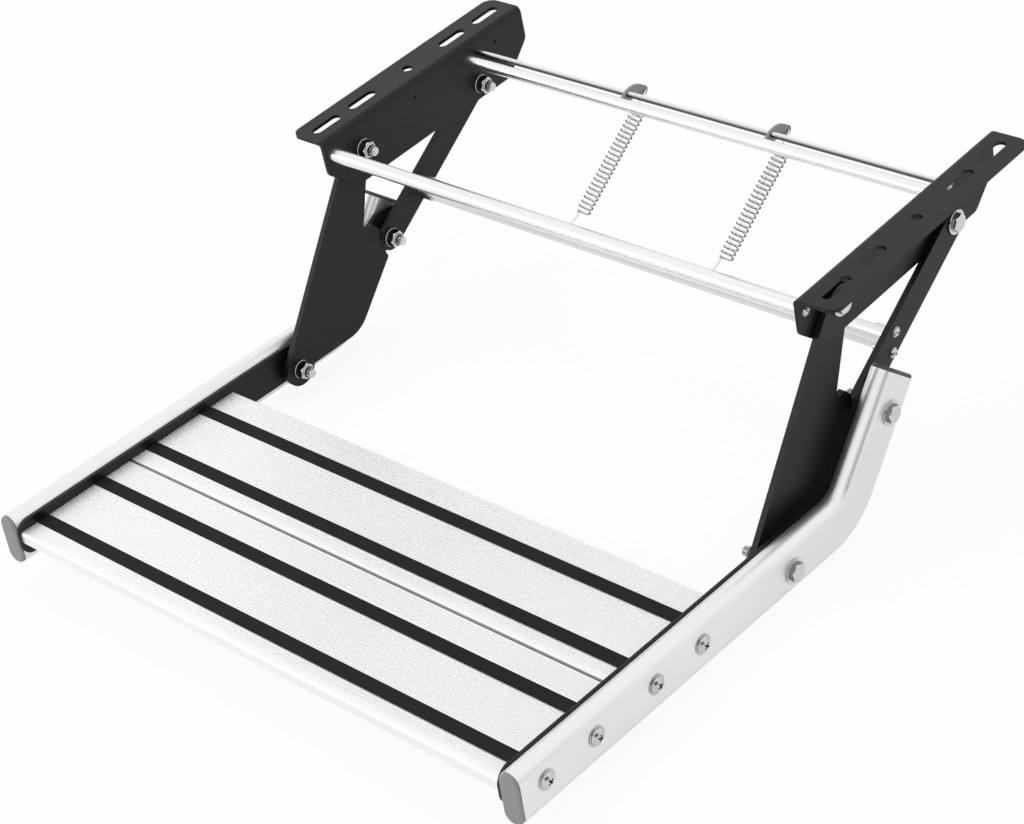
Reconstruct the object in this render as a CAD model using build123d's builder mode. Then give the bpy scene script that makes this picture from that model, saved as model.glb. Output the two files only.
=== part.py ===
import os
from math import atan2, cos, degrees, hypot, pi, radians, sin, sqrt, tan

from build123d import *

os.makedirs("parts", exist_ok=True)

# Frame: X is across the step, Y points back under the floor, Z is up.
# Z = 0 is the mounting face, Y = 0 is the round hole of each flange, X = 0 is the middle.
# The step is drawn folded out.

# Overall width and the layers from the arm inward
overall_width = 553.6
arm_width = 18.0
plate_thickness = 3.0
bush_length = 5.1
link_thickness = 5.0
sheet = 3.0
pivot_gap = 0.8

# Clearances
running_fit = 0.05
axial_play = 0.1
stop_gap = 0.4
swing_gap = 0.8
seat_gap = 0.3

# Brackets
bracket_length = 250.0
bracket_drop = 56.5
flange_reach = 37.6
bend_radius = 2.5
flange_corner = 10.0
web_cut_y = 28.0
web_cut_z = 25.5
web_cut_round = 8.0
slot_length = 31.0
slot_width = 9.5
slot_inset = 19.7
inner_slot_y = 56.5
outer_slot_inset = 25.5
pilot_radius = 1.6
front_pilot_inset = 27.3
back_pilot_inset = 37.2
middle_pilot_y = -14.8
pilot_drop = 15.0

# Pivots in the brackets, link lengths and the bent arm
front_pivot = (-83.0, -27.5)
rear_pivot = (61.5, -43.5)
front_link_length = 195.0
rear_link_length = 157.3
arm_to_bend = 73.0
bend_to_upper = 83.5
arm_bend = 50.5
step_pitch = -3.5

# Link widths, and the front link's neck, stop edge, notch and lobe
front_eye = 15.5
rear_eye = 12.0
neck_angle = 52.0
neck_round = 10.0
stop_slope = 32.5
stop_lead = 14.0
stop_round = 5.0
tip_step = (-2.17, -10.76)
notch_in_step = (5.7, -3.6)
notch_root_step = (2.3, -9.4)
tip_round = 2.0
notch_round = 1.5
sweep_lead = 4.61
lobe_lead = 28.6
lobe_radius = 72.5
lobe_round = 30.0
eye_lead = 38.4

# Arms, plates and caps
arm_depth = 44.5
arm_offset = 2.6
arm_wall = 2.0
arm_front = 300.0
arm_past_upper = 31.5
arm_bend_radius = 45.0
cap_thickness = 3.0
cap_inset = 0.5
cap_edge = 1.2
cap_plug = 8.0
plate_top = 20.4
plate_bottom = -10.0
plate_front = 298.3
plate_past_upper = 26.5
plate_toe_round = 9.0
plate_brow_round = 13.0
plate_heel_round = 2.0
plate_crown_round = 28.0

# Tread planks and grip strips
tread_top = 12.4
tread_front = 296.9
plank_depth = 115.3
plank_joint = 0.8
plank_thickness = 13.0
plank_wall = 2.0
lip_height = 9.5
lip_wall = 2.6
lip_run = 14.0
nose_round = 2.5
rib_pitch = 3.0
rib_groove = 1.3
rib_depth = 0.7
front_margin = 6.5
back_margin = 2.5
strip_margin = 1.5
strip_width = 12.4
strip_recess = 1.4
strip_proud = 0.6
strip_edge = 0.5
first_strip = 23.0
second_strip = 82.4
first_port = 24.4
second_port = 75.7
port_land = 6.0
port_drop = 7.5

# Cross tubes, rod and link crossbar
front_tube_inset = 9.2
front_tube_drop = 15.4
upper_tube_spot = (51.9, -15.3)
rod_spot = (65.5, -13.95)
front_tube_radius = 6.0
upper_tube_radius = 5.0
rod_radius = 2.6
crossbar_along = 104.25
crossbar_offset = 2.22
crossbar_tilt = 219.03
crossbar_tall = 25.5
crossbar_wide = 12.0
crossbar_screw_pitch = 16.7

# Springs and their anchor plates, the left ones a shifted copy of the right ones
spring_x = 84.0
spring_pitch = 149.0
anchor_face = 78.7
anchor_thickness = 2.5
anchor_hole = (84.5, -20.5)
anchor_tip = 4.3
anchor_heel_top = (5.2, 1.0)
anchor_heel_low = (2.6, -4.5)
anchor_crest = (5.0, 4.2)
anchor_belly = (4.0, -7.0)
spring_wire = 0.8
hook_play = 0.7
coil_radius = 5.7
coil_turns = 23
coil_sides = 6
upper_leg = 18.0
lower_leg = 6.0
leg_across = -3.8
leg_blend = 2.5
hook_out = 1.6
hook_lift = 4.0
hook_grip = 5.0

# Fasteners
bolt_radius = 4.0
bolt_head_flats = 13.3
bolt_head_height = 3.4
washer_radius = 10.0
nut_washer_radius = 8.3
washer_thickness = 1.5
bush_radius = 8.0
nut_height = 6.5
nut_collar_radius = 5.8
nut_collar_height = 1.5
bolt_tip = 5.5
bolt_point = 1.0
tread_screw_radius = 3.0
tread_head_radius = 8.0
tread_head_height = 3.6
tread_head_edge = 1.5
tread_screw_grip = 18.0
tube_screw_radius = 3.0
rod_screw_radius = 1.5
small_screw_radius = 2.5
small_head_radius = 4.3
small_head_height = 3.2
small_head_edge = 1.2
small_screw_grip = 16.0
tap_run_out = 4.0

# Layers across the width
arm_outer = overall_width / 2
arm_inner = arm_outer - arm_width
plate_inner = arm_inner - plate_thickness
link_outer = plate_inner - bush_length
link_inner = link_outer - link_thickness
web_outer = link_inner - pivot_gap
web_inner = web_outer - sheet
flange_edge = web_inner + flange_reach
slot_row = web_inner + slot_inset
spacer = pivot_gap - axial_play
bush = bush_length - axial_play
tap_depth = small_screw_grip + tap_run_out

# Places along the brackets, set out from their ends
flange_y = bracket_length / 2
outer_slot_y = flange_y - outer_slot_inset
front_tube_spot = (-flange_y + front_tube_inset, -front_tube_drop)
pilot_spots = (
    (-flange_y + front_pilot_inset, -pilot_drop),
    (middle_pilot_y, -pilot_drop),
    (flange_y - back_pilot_inset, -pilot_drop),
)

# Closing the four-bar: the arm's direction is known, so the lower pivot lies on two circles
pitch = radians(step_pitch)
bend = radians(arm_bend)
reach_along = arm_to_bend + bend_to_upper * cos(bend)
reach_up = bend_to_upper * sin(bend)
arm_vector = (
    reach_along * cos(pitch) - reach_up * sin(pitch),
    reach_along * sin(pitch) + reach_up * cos(pitch),
)
arm_span = hypot(arm_vector[0], arm_vector[1])
swing_centre = (rear_pivot[0] - arm_vector[0], rear_pivot[1] - arm_vector[1])
centre_gap = hypot(swing_centre[0] - front_pivot[0], swing_centre[1] - front_pivot[1])
centre_dir = (
    (swing_centre[0] - front_pivot[0]) / centre_gap,
    (swing_centre[1] - front_pivot[1]) / centre_gap,
)
chord_at = (front_link_length**2 - rear_link_length**2 + centre_gap**2) / (2 * centre_gap)
chord_half = sqrt(front_link_length**2 - chord_at**2)
lower_pivot = (
    front_pivot[0] + centre_dir[0] * chord_at + centre_dir[1] * chord_half,
    front_pivot[1] + centre_dir[1] * chord_at - centre_dir[0] * chord_half,
)
upper_pivot = (lower_pivot[0] + arm_vector[0], lower_pivot[1] + arm_vector[1])
print("lower pivot", lower_pivot, "upper pivot", upper_pivot)

# Directions of the two links
front_link_angle = degrees(atan2(lower_pivot[1] - front_pivot[1], lower_pivot[0] - front_pivot[0]))
rear_link_angle = degrees(atan2(upper_pivot[1] - rear_pivot[1], upper_pivot[0] - rear_pivot[0]))
print("link angles", front_link_angle, rear_link_angle)


# A plane facing +X at a given X, with its own x axis in the YZ plane
def side_plane(x, spot, angle=0.0):
    turn = radians(angle)
    return Plane(origin=(x, spot[0], spot[1]), x_dir=(0, cos(turn), sin(turn)), z_dir=(1, 0, 0))


# A place in the YZ plane, a distance from a spot in a direction
def polar(spot, distance, angle):
    return (spot[0] + distance * cos(radians(angle)), spot[1] + distance * sin(radians(angle)))


def shifted(spot, step):
    return (spot[0] + step[0], spot[1] + step[1])


# Right bracket: bent sheet, slots, pivot holes
with BuildPart() as right_bracket:
    with BuildSketch(Plane(origin=(0, flange_y, 0), x_dir=(1, 0, 0), z_dir=(0, -1, 0))):
        with BuildLine():
            Polyline(
                (web_inner, -bracket_drop),
                (web_inner, 0),
                (flange_edge, 0),
                (flange_edge, -sheet),
                (web_outer, -sheet),
                (web_outer, -bracket_drop),
                close=True,
            )
        make_face()
        fillet(vertices().sort_by_distance((web_inner, 0, 0))[0], bend_radius + sheet)
        fillet(vertices().sort_by_distance((web_outer, -sheet, 0))[0], bend_radius)
    extrude(amount=bracket_length)
    with BuildSketch(side_plane(web_inner - sheet, (0, 0))):
        for end in (-1, 1):
            with BuildLine():
                Polyline(
                    (end * (flange_y - web_cut_y), -bracket_drop),
                    (end * flange_y, -bracket_drop + web_cut_z),
                    (end * (flange_y + sheet), -bracket_drop + web_cut_z),
                    (end * (flange_y + sheet), -bracket_drop - sheet),
                    (end * (flange_y - web_cut_y), -bracket_drop - sheet),
                    close=True,
                )
            make_face()
    extrude(amount=3 * sheet, mode=Mode.SUBTRACT)
    web_corners = right_bracket.edges().filter_by(Axis.X).filter_by(lambda e: e.center().Z < -bracket_drop / 3)
    fillet(web_corners, web_cut_round)
    flange_corners = right_bracket.edges().filter_by(Axis.Z).filter_by(lambda e: e.center().X > slot_row)
    fillet(flange_corners, flange_corner)
    with BuildSketch(Plane.XY):
        with Locations(*[(slot_row, y) for y in (-outer_slot_y, -inner_slot_y, inner_slot_y, outer_slot_y)]):
            SlotOverall(slot_length, slot_width, rotation=90)
        with Locations((slot_row, 0)):
            Circle(slot_width / 2)
    extrude(amount=-sheet, mode=Mode.SUBTRACT)
    with BuildSketch(side_plane(web_inner - sheet, (0, 0))):
        with Locations(front_pivot, rear_pivot):
            Circle(bolt_radius + running_fit)
        with Locations(front_tube_spot, upper_tube_spot):
            Circle(tube_screw_radius + running_fit)
        with Locations(rod_spot):
            Circle(rod_screw_radius + running_fit)
        with Locations(*pilot_spots):
            Circle(pilot_radius)
    extrude(amount=3 * sheet, mode=Mode.SUBTRACT)
right_bracket.part.label = "right_bracket"
export_step(right_bracket.part, "parts/right_bracket.step")

with BuildPart() as left_bracket:
    mirror(right_bracket.part, about=Plane.YZ)
left_bracket.part.label = "left_bracket"
export_step(left_bracket.part, "parts/left_bracket.step")


# Cross tubes and the thin rod between the webs, tapped at both ends
for tube_name, tube_spot, tube_radius, tap_radius in (
    ("front_tube", front_tube_spot, front_tube_radius, tube_screw_radius),
    ("upper_tube", upper_tube_spot, upper_tube_radius, tube_screw_radius),
    ("anchor_rod", rod_spot, rod_radius, rod_screw_radius),
):
    with BuildPart() as tube:
        with BuildSketch(side_plane(-web_inner, tube_spot)):
            Circle(tube_radius)
        extrude(amount=2 * web_inner)
        with BuildSketch(side_plane(web_inner, tube_spot)):
            Circle(tap_radius + running_fit)
        extrude(amount=-tap_depth, mode=Mode.SUBTRACT)
        with BuildSketch(side_plane(-web_inner, tube_spot)):
            Circle(tap_radius + running_fit)
        extrude(amount=tap_depth, mode=Mode.SUBTRACT)
    tube.part.label = tube_name
    export_step(tube.part, f"parts/{tube_name}.step")

# End screws of the tubes and the rod, both sides in one node
with BuildPart() as tube_screws:
    with BuildSketch(side_plane(web_outer, (0, 0))):
        with Locations(front_tube_spot, upper_tube_spot, rod_spot):
            Circle(small_head_radius)
    extrude(amount=small_head_height)
    chamfer(tube_screws.faces().sort_by(Axis.X)[-3:].edges(), small_head_edge)
    with BuildSketch(side_plane(web_outer, (0, 0))):
        with Locations(front_tube_spot, upper_tube_spot):
            Circle(tube_screw_radius)
        with Locations(rod_spot):
            Circle(rod_screw_radius)
    extrude(amount=-sheet - small_screw_grip)
    mirror(about=Plane.YZ)
tube_screws.part.label = "tube_screws"
export_step(tube_screws.part, "parts/tube_screws.step")


# Spring anchor plates: fins welded to the back of the upper tube, the thin rod through them
anchor_tip_top = polar(anchor_hole, anchor_tip, 75)
anchor_tip_mid = polar(anchor_hole, anchor_tip, -20)
anchor_tip_low = polar(anchor_hole, anchor_tip, -115)
heel_top = shifted(upper_tube_spot, anchor_heel_top)
heel_low = shifted(upper_tube_spot, anchor_heel_low)
for anchor_name, face_x in (("left_anchor", anchor_face - spring_pitch), ("right_anchor", anchor_face)):
    with BuildPart() as anchor:
        with BuildSketch(side_plane(face_x, (0, 0))):
            with BuildLine():
                ThreePointArc(heel_top, shifted(rod_spot, anchor_crest), anchor_tip_top)
                ThreePointArc(anchor_tip_top, anchor_tip_mid, anchor_tip_low)
                ThreePointArc(anchor_tip_low, shifted(rod_spot, anchor_belly), heel_low)
                Line(heel_low, heel_top)
            make_face()
            with Locations(upper_tube_spot):
                Circle(upper_tube_radius + running_fit, mode=Mode.SUBTRACT)
            with Locations(rod_spot):
                Circle(rod_radius + running_fit, mode=Mode.SUBTRACT)
            with Locations(anchor_hole):
                Circle(spring_wire + hook_play, mode=Mode.SUBTRACT)
        extrude(amount=-anchor_thickness)
    anchor.part.label = anchor_name
    export_step(anchor.part, f"parts/{anchor_name}.step")


# Right front link: eyes, straight front edge, wide lobe and the stop edge under the rear link's eye
front_turn = radians(front_link_angle)
upper_dy = upper_pivot[0] - front_pivot[0]
upper_dz = upper_pivot[1] - front_pivot[1]
upper_s = upper_dy * cos(front_turn) + upper_dz * sin(front_turn)
upper_n = -upper_dy * sin(front_turn) + upper_dz * cos(front_turn)
stop_turn = radians(stop_slope)
stop_touch = polar((upper_s, upper_n), rear_eye + stop_gap, stop_slope - 90)
stop_end = polar(stop_touch, -stop_lead, stop_slope)
link_tip = shifted(stop_end, tip_step)
notch_in = shifted(link_tip, notch_in_step)
notch_root = shifted(link_tip, notch_root_step)

# The lobe is set out from the lower eye, and its end clears the rear link's eye as the arm swings
lower_eye = (front_link_length, 0)
upper_angle = degrees(atan2(upper_n, upper_s - front_link_length))
sweep_radius = arm_span - rear_eye - swing_gap
touch_from_lower = (stop_touch[0] - front_link_length, stop_touch[1])
along = touch_from_lower[0] * cos(stop_turn) + touch_from_lower[1] * sin(stop_turn)
left_over = touch_from_lower[0] ** 2 + touch_from_lower[1] ** 2 - sweep_radius**2
sweep_start = polar(stop_touch, -along - sqrt(along**2 - left_over), stop_slope)
sweep_low = degrees(atan2(sweep_start[1], sweep_start[0] - front_link_length))
sweep_high = upper_angle - sweep_lead
sweep_mid = polar(lower_eye, sweep_radius, (sweep_low + sweep_high) / 2)
sweep_end = polar(lower_eye, sweep_radius, sweep_high)
lobe_corner = polar(lower_eye, lobe_radius, upper_angle - lobe_lead)
lower_eye_start = polar(lower_eye, front_eye, upper_angle - eye_lead)
neck_start = polar((0, 0), front_eye, neck_angle)
with BuildPart() as right_front_link:
    with BuildSketch(side_plane(link_inner, front_pivot, front_link_angle)):
        with BuildLine():
            Line((0, -front_eye), (front_link_length, -front_eye))
            ThreePointArc(
                (front_link_length, -front_eye),
                (front_link_length + front_eye, 0),
                lower_eye_start,
            )
            Line(lower_eye_start, lobe_corner)
            Line(lobe_corner, sweep_end)
            ThreePointArc(sweep_end, sweep_mid, sweep_start)
            Line(sweep_start, stop_end)
            Line(stop_end, link_tip)
            Line(link_tip, notch_in)
            Line(notch_in, notch_root)
            Line(notch_root, neck_start)
            ThreePointArc(neck_start, (-front_eye, 0), (0, -front_eye))
        make_face()
        for corner, rounding in (
            (neck_start, neck_round),
            (link_tip, tip_round),
            (notch_in, notch_round),
            (stop_end, stop_round),
            (sweep_end, tip_round),
            (lobe_corner, lobe_round),
        ):
            fillet(vertices().sort_by_distance((corner[0], corner[1], 0))[0], rounding)
        with Locations((0, 0), lower_eye):
            Circle(bolt_radius + running_fit, mode=Mode.SUBTRACT)
    extrude(amount=link_thickness)
right_front_link.part.label = "right_front_link"
export_step(right_front_link.part, "parts/right_front_link.step")

with BuildPart() as left_front_link:
    mirror(right_front_link.part, about=Plane.YZ)
left_front_link.part.label = "left_front_link"
export_step(left_front_link.part, "parts/left_front_link.step")


# Right rear link: flat bar with round ends and the crossbar's screw holes
crossbar_spot = polar(polar(rear_pivot, crossbar_along, rear_link_angle), crossbar_offset, rear_link_angle + 90)
crossbar_angle = rear_link_angle + crossbar_tilt
crossbar_screw_spots = (
    polar(crossbar_spot, crossbar_screw_pitch / 2, crossbar_angle),
    polar(crossbar_spot, -crossbar_screw_pitch / 2, crossbar_angle),
)
with BuildPart() as right_rear_link:
    with BuildSketch(side_plane(link_inner, rear_pivot, rear_link_angle)):
        with Locations((rear_link_length / 2, 0)):
            SlotCenterToCenter(rear_link_length, 2 * rear_eye)
        with Locations((0, 0), (rear_link_length, 0)):
            Circle(bolt_radius + running_fit, mode=Mode.SUBTRACT)
    extrude(amount=link_thickness)
    with BuildSketch(side_plane(link_inner, (0, 0))):
        with Locations(*crossbar_screw_spots):
            Circle(small_screw_radius + running_fit)
    extrude(amount=link_thickness, mode=Mode.SUBTRACT)
right_rear_link.part.label = "right_rear_link"
export_step(right_rear_link.part, "parts/right_rear_link.step")

with BuildPart() as left_rear_link:
    mirror(right_rear_link.part, about=Plane.YZ)
left_rear_link.part.label = "left_rear_link"
export_step(left_rear_link.part, "parts/left_rear_link.step")

# Crossbar between the rear links, with a hole in its front face for each spring's hook
bar_top = polar(crossbar_spot, crossbar_tall / 2, crossbar_angle)
bar_round = crossbar_wide / 2
bar_crown = polar(bar_top, -bar_round, crossbar_angle)
hook_x = spring_x + leg_across
hook_hole = spring_wire + hook_play
bar_back = (0, -cos(radians(crossbar_angle + 90)), -sin(radians(crossbar_angle + 90)))
bar_front = polar(bar_crown, bar_round, crossbar_angle + 90)
with BuildPart() as link_crossbar:
    with BuildSketch(side_plane(-link_inner, crossbar_spot, crossbar_angle)):
        SlotOverall(crossbar_tall, crossbar_wide)
    extrude(amount=2 * link_inner)
    with BuildSketch(side_plane(link_inner, (0, 0))):
        with Locations(*crossbar_screw_spots):
            Circle(small_screw_radius + running_fit)
    extrude(amount=-tap_depth, mode=Mode.SUBTRACT)
    with BuildSketch(side_plane(-link_inner, (0, 0))):
        with Locations(*crossbar_screw_spots):
            Circle(small_screw_radius + running_fit)
    extrude(amount=tap_depth, mode=Mode.SUBTRACT)
    for hole_x in (hook_x - spring_pitch, hook_x):
        with BuildSketch(Plane(origin=(hole_x, bar_front[0], bar_front[1]), x_dir=(1, 0, 0), z_dir=bar_back)):
            Circle(hook_hole)
        extrude(amount=hook_grip + hook_play, mode=Mode.SUBTRACT)
link_crossbar.part.label = "link_crossbar"
export_step(link_crossbar.part, "parts/link_crossbar.step")

# Crossbar screws through both rear links
with BuildPart() as crossbar_screws:
    with BuildSketch(side_plane(link_outer, (0, 0))):
        with Locations(*crossbar_screw_spots):
            Circle(small_head_radius)
    extrude(amount=small_head_height)
    chamfer(crossbar_screws.faces().sort_by(Axis.X)[-2:].edges(), small_head_edge)
    with BuildSketch(side_plane(link_outer, (0, 0))):
        with Locations(*crossbar_screw_spots):
            Circle(small_screw_radius)
    extrude(amount=-link_thickness - small_screw_grip)
    mirror(about=Plane.YZ)
crossbar_screws.part.label = "crossbar_screws"
export_step(crossbar_screws.part, "parts/crossbar_screws.step")


# Springs: one wire as straight lengths, hooked through the anchor plate and over the crossbar's top edge
spring_end = polar(bar_top, hook_lift, crossbar_angle)
spring_dy = spring_end[0] - anchor_hole[0]
spring_dz = spring_end[1] - anchor_hole[1]
spring_span = hypot(spring_dy, spring_dz)
spring_dir = (spring_dy / spring_span, spring_dz / spring_span)
coil_length = spring_span - upper_leg - lower_leg
steps = coil_turns * coil_sides
print("spring angle", degrees(atan2(spring_dz, spring_dy)), "length", spring_span)

# The hook's wire passes round the crossbar's top at this distance from the crown's middle
hook_round = bar_round + spring_wire + seat_gap
hook_corner = polar(bar_crown, hook_round + seat_gap + hook_play / 2, crossbar_angle + 45)
hook_front = polar(bar_crown, hook_round + hook_play, crossbar_angle + 90)
hook_end = polar(bar_crown, bar_round - hook_grip, crossbar_angle + 90)


# A place along the spring's line, off its axis across the step and upward
def on_spring(middle_x, distance, across, up):
    y = anchor_hole[0] + spring_dir[0] * distance - spring_dir[1] * up
    z = anchor_hole[1] + spring_dir[1] * distance + spring_dir[0] * up
    return (middle_x + across, y, z)


for spring_name, middle_x in (("left_spring", spring_x - spring_pitch), ("right_spring", spring_x)):
    leg_x = middle_x + leg_across
    hook_start = middle_x - spring_x + anchor_face - anchor_thickness - hook_out
    wire_points = [
        (hook_start, anchor_hole[0], anchor_hole[1]),
        (leg_x, anchor_hole[0], anchor_hole[1]),
        on_spring(middle_x, upper_leg - leg_blend, leg_across, 0),
    ]
    for step in range(steps + 1):
        turn = pi + 2 * pi * step / coil_sides
        along_coil = upper_leg + coil_length * step / steps
        wire_points.append(on_spring(middle_x, along_coil, coil_radius * cos(turn), coil_radius * sin(turn)))
    wire_points.append(on_spring(middle_x, spring_span - lower_leg + leg_blend, leg_across, 0))
    for spot in (spring_end, hook_corner, hook_front, hook_end):
        wire_points.append((leg_x, spot[0], spot[1]))
    with BuildPart() as spring:
        with BuildLine() as spring_path:
            Polyline(*wire_points)
        with BuildSketch(Plane(origin=wire_points[0], x_dir=(0, 1, 0), z_dir=(1, 0, 0))):
            RegularPolygon(spring_wire, 6)
        sweep(path=spring_path.line, transition=Transition.RIGHT)
    spring.part.label = spring_name
    export_step(spring.part, f"parts/{spring_name}.step")


# Places on the arm: along the level part, then up the bent part
def bent_spot(distance, offset):
    along_bend = arm_to_bend + distance * cos(bend) - offset * sin(bend)
    up_bend = distance * sin(bend) + offset * cos(bend)
    return (along_bend, up_bend)


def bend_corner(offset):
    return (arm_to_bend - offset * tan(bend / 2), offset)


upper_spot = bent_spot(bend_to_upper, 0)
arm_middle = arm_outer - arm_width / 2
port_spots = (first_port, second_port)
port_list = []
for plank_start in (-tread_front, -tread_front + plank_depth):
    for port in port_spots:
        port_list.append((plank_start + port, tread_top - port_drop))

# Right arm: flat-oval tube bent upward at the back
tube_front = -arm_front + cap_thickness
tube_end = bend_to_upper + arm_past_upper - cap_thickness
top_spot = bent_spot(tube_end, arm_offset)
top_turn = pitch + bend
arm_plane = side_plane(arm_middle, lower_pivot, step_pitch)
arm_start_plane = Plane(
    origin=arm_plane.from_local_coords((tube_front, arm_offset, 0)),
    x_dir=(1, 0, 0),
    z_dir=(0, cos(pitch), sin(pitch)),
)
arm_top_plane = Plane(
    origin=arm_plane.from_local_coords((top_spot[0], top_spot[1], 0)),
    x_dir=(1, 0, 0),
    z_dir=(0, cos(top_turn), sin(top_turn)),
)
with BuildPart() as right_arm:
    with BuildLine(arm_plane) as arm_path:
        FilletPolyline(
            (tube_front, arm_offset),
            bend_corner(arm_offset),
            top_spot,
            radius=arm_bend_radius,
        )
    with BuildSketch(arm_start_plane):
        SlotOverall(arm_depth, arm_width, rotation=90)
        SlotOverall(arm_depth - 2 * arm_wall, arm_width - 2 * arm_wall, rotation=90, mode=Mode.SUBTRACT)
    sweep(path=arm_path.line)
    with BuildSketch(side_plane(arm_inner - arm_wall, lower_pivot, step_pitch)):
        with Locations((0, 0), upper_spot):
            Circle(bolt_radius + running_fit)
        with Locations(*port_list):
            Circle(tread_screw_radius + running_fit)
    extrude(amount=arm_width + 2 * arm_wall, mode=Mode.SUBTRACT)
right_arm.part.label = "right_arm"
export_step(right_arm.part, "parts/right_arm.step")

with BuildPart() as left_arm:
    mirror(right_arm.part, about=Plane.YZ)
left_arm.part.label = "left_arm"
export_step(left_arm.part, "parts/left_arm.step")

# Right inner plate, following the bend of the arm
plate_end = bend_to_upper + plate_past_upper
plate_corners = (
    ((-plate_front, plate_bottom), plate_toe_round),
    (bend_corner(plate_bottom), arm_bend_radius + arm_offset - plate_bottom),
    (bent_spot(plate_end, plate_bottom), plate_heel_round),
    (bent_spot(plate_end, plate_top), plate_crown_round),
    (bend_corner(plate_top), arm_bend_radius + arm_offset - plate_top),
    ((-plate_front, plate_top), plate_brow_round),
)
with BuildPart() as right_plate:
    with BuildSketch(side_plane(plate_inner, lower_pivot, step_pitch)):
        with BuildLine():
            Polyline(*[corner for corner, rounding in plate_corners], close=True)
        make_face()
        for corner, rounding in plate_corners:
            fillet(vertices().sort_by_distance((corner[0], corner[1], 0))[0], rounding)
        with Locations((0, 0), upper_spot):
            Circle(bolt_radius + running_fit, mode=Mode.SUBTRACT)
        with Locations(*port_list):
            Circle(tread_screw_radius + running_fit, mode=Mode.SUBTRACT)
    extrude(amount=plate_thickness)
right_plate.part.label = "right_plate"
export_step(right_plate.part, "parts/right_plate.step")

with BuildPart() as left_plate:
    mirror(right_plate.part, about=Plane.YZ)
left_plate.part.label = "left_plate"
export_step(left_plate.part, "parts/left_plate.step")

# Right front cap and top cap, each with a plug inside the tube
cap_depth = arm_depth - 2 * cap_inset
cap_width = arm_width - 2 * cap_inset
plug_depth = arm_depth - 2 * arm_wall - 2 * seat_gap
plug_width = arm_width - 2 * arm_wall - 2 * seat_gap
with BuildPart() as right_front_cap:
    with BuildSketch(arm_start_plane):
        SlotOverall(cap_depth, cap_width, rotation=90)
    extrude(amount=-cap_thickness)
    chamfer(right_front_cap.faces().sort_by(Axis.Y)[0].edges(), cap_edge)
    with BuildSketch(arm_start_plane):
        SlotOverall(plug_depth, plug_width, rotation=90)
    extrude(amount=cap_plug)
right_front_cap.part.label = "right_front_cap"
export_step(right_front_cap.part, "parts/right_front_cap.step")

with BuildPart() as left_front_cap:
    mirror(right_front_cap.part, about=Plane.YZ)
left_front_cap.part.label = "left_front_cap"
export_step(left_front_cap.part, "parts/left_front_cap.step")

top_axis = Axis((0, 0, 0), (0, cos(top_turn), sin(top_turn)))
with BuildPart() as right_top_cap:
    with BuildSketch(arm_top_plane):
        SlotOverall(cap_depth, cap_width, rotation=90)
    extrude(amount=cap_thickness)
    chamfer(right_top_cap.faces().sort_by(top_axis)[-1].edges(), cap_edge)
    with BuildSketch(arm_top_plane):
        SlotOverall(plug_depth, plug_width, rotation=90)
    extrude(amount=-cap_plug)
right_top_cap.part.label = "right_top_cap"
export_step(right_top_cap.part, "parts/right_top_cap.step")

with BuildPart() as left_top_cap:
    mirror(right_top_cap.part, about=Plane.YZ)
left_top_cap.part.label = "left_top_cap"
export_step(left_top_cap.part, "parts/left_top_cap.step")


# Rib grooves beside the grip strips, measured from a plank's front edge
plank_back = plank_depth - plank_joint
strip_spots = (first_strip, second_strip)
strip_half = strip_width / 2 + strip_margin
groove_spots = []
for band_start, band_end in (
    (front_margin, first_strip - strip_half),
    (first_strip + strip_half, second_strip - strip_half),
    (second_strip + strip_half, plank_back - back_margin),
):
    count = int((band_end - band_start) / rib_pitch) + 1
    first = (band_start + band_end - (count - 1) * rib_pitch) / 2
    for number in range(count):
        groove_spots.append(first + number * rib_pitch)

# Hollow cells between the screw ports, each bay parted by one wall
cell_bottom = -plank_thickness + plank_wall
cell_top = -strip_recess - plank_wall
cells = []
for bay_start, bay_end in (
    (first_port + port_land, second_port - port_land),
    (second_port + port_land, plank_back - plank_wall),
):
    bay_middle = (bay_start + bay_end) / 2
    cells.append((bay_start, bay_middle - plank_wall / 2))
    cells.append((bay_middle + plank_wall / 2, bay_end))


# One plank: hollow extrusion with a front lip, ribs, two channels and two screw ports
def plank_plane(number):
    start = -tread_front + number * plank_depth
    middle = side_plane(0, lower_pivot, step_pitch)
    corner = middle.from_local_coords((start, tread_top, 0))
    return Plane(
        origin=(-plate_inner, corner.Y, corner.Z),
        x_dir=(0, cos(pitch), sin(pitch)),
        z_dir=(1, 0, 0),
    )


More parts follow.
